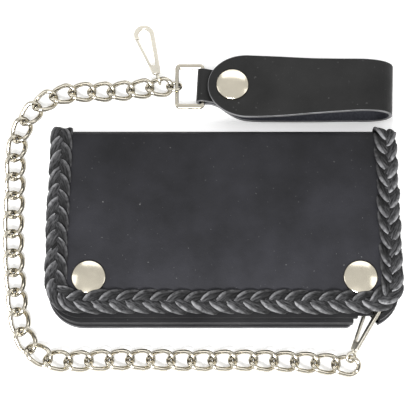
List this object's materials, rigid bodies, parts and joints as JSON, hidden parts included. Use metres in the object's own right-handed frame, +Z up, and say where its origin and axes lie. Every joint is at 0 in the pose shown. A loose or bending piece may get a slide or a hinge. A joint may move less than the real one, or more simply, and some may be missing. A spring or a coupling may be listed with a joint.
{
  "type": "chain wallet",
  "caption": "Long leather snap wallet with a braided flap, a curb chain, two spring clips and a leather belt strap that closes with a snap.",
  "frame": {"origin": "centre of the wallet's resting face, on the surface that it lies on", "axes": "+X to the wallet's right, +Y from the mouth of the flap towards the fold, +Z up out of the closed flap"},
  "size_m": [0.2029, 0.1894, 0.0202],
  "materials": {
    "cover_leather": "satin, fine grain",
    "lining_leather": "matte, smooth",
    "lace": "satin, braided flat lace",
    "snap_nickel": "bright nickel, lightly brushed",
    "clip_nickel": "bright nickel",
    "chain_nickel": "bright nickel"
  },
  "bodies": {
    "wallet": {"back_panel": "cover_leather", "pocket_gusset": "lining_leather", "bill_divider": "lining_leather", "card_slots_upper": "lining_leather", "card_slots_lower": "lining_leather", "pocket_front": "lining_leather", "chain_grommet": "snap_nickel", "snap_studs": "snap_nickel"},
    "spine": {"spine_fold": "cover_leather"},
    "flap": {"front_flap": "cover_leather", "flap_braid": "lace", "snap_caps": "snap_nickel", "snap_sockets": "snap_nickel"},
    "wallet_clip": {"wallet_clip": "clip_nickel"},
    "wallet_clip_gate": {"wallet_clip_gate": "clip_nickel"},
    "link_01": {"chain_link_01": "chain_nickel"},
    "link_02": {"chain_link_02": "chain_nickel"},
    "link_03": {"chain_link_03": "chain_nickel"},
    "link_04": {"chain_link_04": "chain_nickel"},
    "link_05": {"chain_link_05": "chain_nickel"},
    "link_06": {"chain_link_06": "chain_nickel"},
    "link_07": {"chain_link_07": "chain_nickel"},
    "link_08": {"chain_link_08": "chain_nickel"},
    "link_09": {"chain_link_09": "chain_nickel"},
    "link_10": {"chain_link_10": "chain_nickel"},
    "link_11": {"chain_link_11": "chain_nickel"},
    "link_12": {"chain_link_12": "chain_nickel"},
    "link_13": {"chain_link_13": "chain_nickel"},
    "link_14": {"chain_link_14": "chain_nickel"},
    "link_15": {"chain_link_15": "chain_nickel"},
    "link_16": {"chain_link_16": "chain_nickel"},
    "link_17": {"chain_link_17": "chain_nickel"},
    "link_18": {"chain_link_18": "chain_nickel"},
    "link_19": {"chain_link_19": "chain_nickel"},
    "link_20": {"chain_link_20": "chain_nickel"},
    "link_21": {"chain_link_21": "chain_nickel"},
    "link_22": {"chain_link_22": "chain_nickel"},
    "link_23": {"chain_link_23": "chain_nickel"},
    "link_24": {"chain_link_24": "chain_nickel"},
    "link_25": {"chain_link_25": "chain_nickel"},
    "link_26": {"chain_link_26": "chain_nickel"},
    "link_27": {"chain_link_27": "chain_nickel"},
    "link_28": {"chain_link_28": "chain_nickel"},
    "link_29": {"chain_link_29": "chain_nickel"},
    "link_30": {"chain_link_30": "chain_nickel"},
    "link_31": {"chain_link_31": "chain_nickel"},
    "link_32": {"chain_link_32": "chain_nickel"},
    "link_33": {"chain_link_33": "chain_nickel"},
    "link_34": {"chain_link_34": "chain_nickel"},
    "link_35": {"chain_link_35": "chain_nickel"},
    "link_36": {"chain_link_36": "chain_nickel"},
    "key_clip": {"key_clip": "clip_nickel"},
    "key_clip_gate": {"key_clip_gate": "clip_nickel"},
    "end_ring": {"end_ring": "chain_nickel"},
    "strap_ring": {"strap_ring": "chain_nickel"},
    "strap": {"strap_lower": "cover_leather", "strap_snap_stud": "snap_nickel"},
    "strap_leaf": {"strap_upper": "cover_leather", "strap_snap_cap": "snap_nickel", "strap_snap_socket": "snap_nickel"}
  },
  "joints": [
    {"name": "spine_fold_hinge", "type": "hinge", "parent": "wallet", "child": "spine", "pos_m": [0, 0.0476, 0.0012], "axis": [-1, 0, 0], "range_deg": [0, 15]},
    {"name": "flap_hinge", "type": "hinge", "parent": "spine", "child": "flap", "pos_m": [0, 0.0476, 0.0162], "axis": [-1, 0, 0], "range_deg": [0, 95]},
    {"name": "wallet_clip_swing", "type": "hinge", "parent": "wallet", "child": "wallet_clip", "pos_m": [0.07619, -0.04039, 0.00811], "axis": [0, 0, 1], "range_deg": [-2, 3]},
    {"name": "wallet_clip_gate_hinge", "type": "hinge", "parent": "wallet_clip", "child": "wallet_clip_gate", "pos_m": [0.06573, -0.05828, 0.00359], "axis": [0.7064, -0.2453, -0.664], "range_deg": [0, 10], "stiffness_Nm_per_rad": 0.02},
    {"name": "link_01_yaw", "type": "hinge", "parent": "wallet_clip", "child": "link_01", "pos_m": [0.06324, -0.06753, 0.00437], "axis": [0, 0, 1], "range_deg": [0, 3]},
    {"name": "link_02_pitch", "type": "hinge", "parent": "link_01", "child": "link_02", "pos_m": [0.0556, -0.07102, 0.00325], "axis": [-0.0865, -0.9962, 0], "range_deg": [-15, 15]},
    {"name": "link_03_yaw", "type": "hinge", "parent": "link_02", "child": "link_03", "pos_m": [0.04538, -0.07023, 0.00325], "axis": [0, 0, 1], "range_deg": [0, 4]},
    {"name": "link_04_pitch", "type": "hinge", "parent": "link_03", "child": "link_04", "pos_m": [0.03515, -0.0696, 0.00325], "axis": [0.0523, 0.9986, 0], "range_deg": [-15, 15]},
    {"name": "link_05_pitch", "type": "hinge", "parent": "link_04", "child": "link_05", "pos_m": [0.02491, -0.06915, 0.00325], "axis": [-0.0338, -0.9994, 0], "range_deg": [-15, 15]},
    {"name": "link_06_yaw", "type": "hinge", "parent": "link_05", "child": "link_06", "pos_m": [0.01466, -0.06891, 0.00325], "axis": [0, 0, 1], "range_deg": [0, 4]},
    {"name": "link_07_pitch", "type": "hinge", "parent": "link_06", "child": "link_07", "pos_m": [0.00441, -0.06886, 0.00325], "axis": [-0.0005, 1, 0], "range_deg": [-15, 15]},
    {"name": "link_08_pitch", "type": "hinge", "parent": "link_07", "child": "link_08", "pos_m": [-0.00584, -0.06892, 0.00325], "axis": [0.0033, -1, 0], "range_deg": [-15, 15]},
    {"name": "link_09_yaw", "type": "hinge", "parent": "link_08", "child": "link_09", "pos_m": [-0.01609, -0.06893, 0.00325], "axis": [0, 0, 1], "range_deg": [0, 4]},
    {"name": "link_10_pitch", "type": "hinge", "parent": "link_09", "child": "link_10", "pos_m": [-0.02634, -0.06879, 0.00325], "axis": [0.0188, 0.9998, 0], "range_deg": [-15, 15]},
    {"name": "link_11_pitch", "type": "hinge", "parent": "link_10", "child": "link_11", "pos_m": [-0.03659, -0.06855, 0.00325], "axis": [-0.0181, -0.9998, 0], "range_deg": [-15, 15]},
    {"name": "link_12_yaw", "type": "hinge", "parent": "link_11", "child": "link_12", "pos_m": [-0.04684, -0.06842, 0.00325], "axis": [0, 0, 1], "range_deg": [0, 4]},
    {"name": "link_13_pitch", "type": "hinge", "parent": "link_12", "child": "link_13", "pos_m": [-0.05708, -0.0686, 0.00325], "axis": [-0.0319, 0.9995, 0], "range_deg": [-15, 15]},
    {"name": "link_14_pitch", "type": "hinge", "parent": "link_13", "child": "link_14", "pos_m": [-0.06732, -0.06907, 0.00325], "axis": [0.0389, -0.9992, 0], "range_deg": [-15, 15]},
    {"name": "link_15_yaw", "type": "hinge", "parent": "link_14", "child": "link_15", "pos_m": [-0.07757, -0.0694, 0.00325], "axis": [0, 0, 1], "range_deg": [0, 14]},
    {"name": "link_16_yaw", "type": "hinge", "parent": "link_15", "child": "link_16", "pos_m": [-0.08778, -0.06853, 0.00325], "axis": [0, 0, 1], "range_deg": [0, 14]},
    {"name": "link_17_yaw", "type": "hinge", "parent": "link_16", "child": "link_17", "pos_m": [-0.09656, -0.06324, 0.00325], "axis": [0, 0, 1], "range_deg": [0, 14]},
    {"name": "link_18_pitch", "type": "hinge", "parent": "link_17", "child": "link_18", "pos_m": [-0.10137, -0.05419, 0.00325], "axis": [0.9398, 0.3416, 0], "range_deg": [-15, 15]},
    {"name": "link_19_yaw", "type": "hinge", "parent": "link_18", "child": "link_19", "pos_m": [-0.10349, -0.04416, 0.00325], "axis": [0, 0, 1], "range_deg": [0, 14]},
    {"name": "link_20_pitch", "type": "hinge", "parent": "link_19", "child": "link_20", "pos_m": [-0.10491, -0.03401, 0.00325], "axis": [-0.9923, -0.1236, 0], "range_deg": [-15, 15]},
    {"name": "link_21_yaw", "type": "hinge", "parent": "link_20", "child": "link_21", "pos_m": [-0.10603, -0.02382, 0.00325], "axis": [0, 0, 1], "range_deg": [0, 14]},
    {"name": "link_22_pitch", "type": "hinge", "parent": "link_21", "child": "link_22", "pos_m": [-0.1069, -0.01361, 0.00325], "axis": [0.9975, 0.0703, 0], "range_deg": [-15, 15]},
    {"name": "link_23_yaw", "type": "hinge", "parent": "link_22", "child": "link_23", "pos_m": [-0.10747, -0.00337, 0.00325], "axis": [0, 0, 1], "range_deg": [0, 14]},
    {"name": "link_24_pitch", "type": "hinge", "parent": "link_23", "child": "link_24", "pos_m": [-0.10761, 0.00688, 0.00325], "axis": [-1, -0.0031, 0], "range_deg": [-15, 15]},
    {"name": "link_25_yaw", "type": "hinge", "parent": "link_24", "child": "link_25", "pos_m": [-0.10753, 0.01713, 0.00325], "axis": [0, 0, 1], "range_deg": [0, 14]},
    {"name": "link_26_pitch", "type": "hinge", "parent": "link_25", "child": "link_26", "pos_m": [-0.10772, 0.02738, 0.00325], "axis": [0.9998, 0.0217, 0], "range_deg": [-15, 15]},
    {"name": "link_27_yaw", "type": "hinge", "parent": "link_26", "child": "link_27", "pos_m": [-0.10798, 0.03762, 0.00325], "axis": [0, 0, 1], "range_deg": [0, 14]},
    {"name": "link_28_yaw", "type": "hinge", "parent": "link_27", "child": "link_28", "pos_m": [-0.10705, 0.04783, 0.00325], "axis": [0, 0, 1], "range_deg": [0, 14]},
    {"name": "link_29_yaw", "type": "hinge", "parent": "link_28", "child": "link_29", "pos_m": [-0.10386, 0.05757, 0.00325], "axis": [0, 0, 1], "range_deg": [0, 14]},
    {"name": "link_30_yaw", "type": "hinge", "parent": "link_29", "child": "link_30", "pos_m": [-0.09791, 0.06591, 0.00325], "axis": [0, 0, 1], "range_deg": [0, 14]},
    {"name": "link_31_yaw", "type": "hinge", "parent": "link_30", "child": "link_31", "pos_m": [-0.08944, 0.07169, 0.00325], "axis": [0, 0, 1], "range_deg": [0, 14]},
    {"name": "link_32_pitch", "type": "hinge", "parent": "link_31", "child": "link_32", "pos_m": [-0.07948, 0.07411, 0.00325], "axis": [-0.1336, 0.991, 0], "range_deg": [-15, 15]},
    {"name": "link_33_yaw", "type": "hinge", "parent": "link_32", "child": "link_33", "pos_m": [-0.06924, 0.07442, 0.00325], "axis": [0, 0, 1], "range_deg": [0, 14]},
    {"name": "link_34_pitch", "type": "hinge", "parent": "link_33", "child": "link_34", "pos_m": [-0.05899, 0.07456, 0.00325], "axis": [0.046, -0.9989, 0], "range_deg": [-15, 15]},
    {"name": "link_35_yaw", "type": "hinge", "parent": "link_34", "child": "link_35", "pos_m": [-0.04877, 0.07536, 0.00325], "axis": [0, 0, 1], "range_deg": [0, 14]},
    {"name": "link_36_pitch", "type": "hinge", "parent": "link_35", "child": "link_36", "pos_m": [-0.03861, 0.07673, 0.00325], "axis": [-0.1022, 0.9948, 0], "range_deg": [-15, 15]},
    {"name": "key_clip_flip", "type": "hinge", "parent": "link_36", "child": "key_clip", "pos_m": [-0.0338, 0.08143, 0.00325], "axis": [0.9975, 0.0708, 0], "range_deg": [0, 60]},
    {"name": "key_clip_gate_hinge", "type": "hinge", "parent": "key_clip", "child": "key_clip_gate", "pos_m": [-0.03909, 0.08945, 0.00325], "axis": [0, 0, -1], "range_deg": [0, 10], "stiffness_Nm_per_rad": 0.02},
    {"name": "end_ring_swing", "type": "hinge", "parent": "link_36", "child": "end_ring", "pos_m": [-0.02701, 0.07745, 0.00325], "axis": [0, 1, 0], "range_deg": [-12, 12]},
    {"name": "strap_ring_swing", "type": "hinge", "parent": "end_ring", "child": "strap_ring", "pos_m": [-0.02416, 0.07745, 0.00325], "axis": [0, 1, 0], "range_deg": [-20, 20]},
    {"name": "strap_tab_hinge", "type": "hinge", "parent": "strap_ring", "child": "strap", "pos_m": [-0.01051, 0.07745, 0.00325], "axis": [0, 1, 0], "range_deg": [-20, 20]},
    {"name": "strap_leaf_hinge", "type": "hinge", "parent": "strap", "child": "strap_leaf", "pos_m": [0.08796, 0.07229, 0.0093], "axis": [0.0523, 0.9986, 0], "range_deg": [0, 110]}
  ],
  "couplings": [
    {"joint": "spine_fold_hinge", "follows": "flap_hinge", "ratio": 0.15}
  ]
}
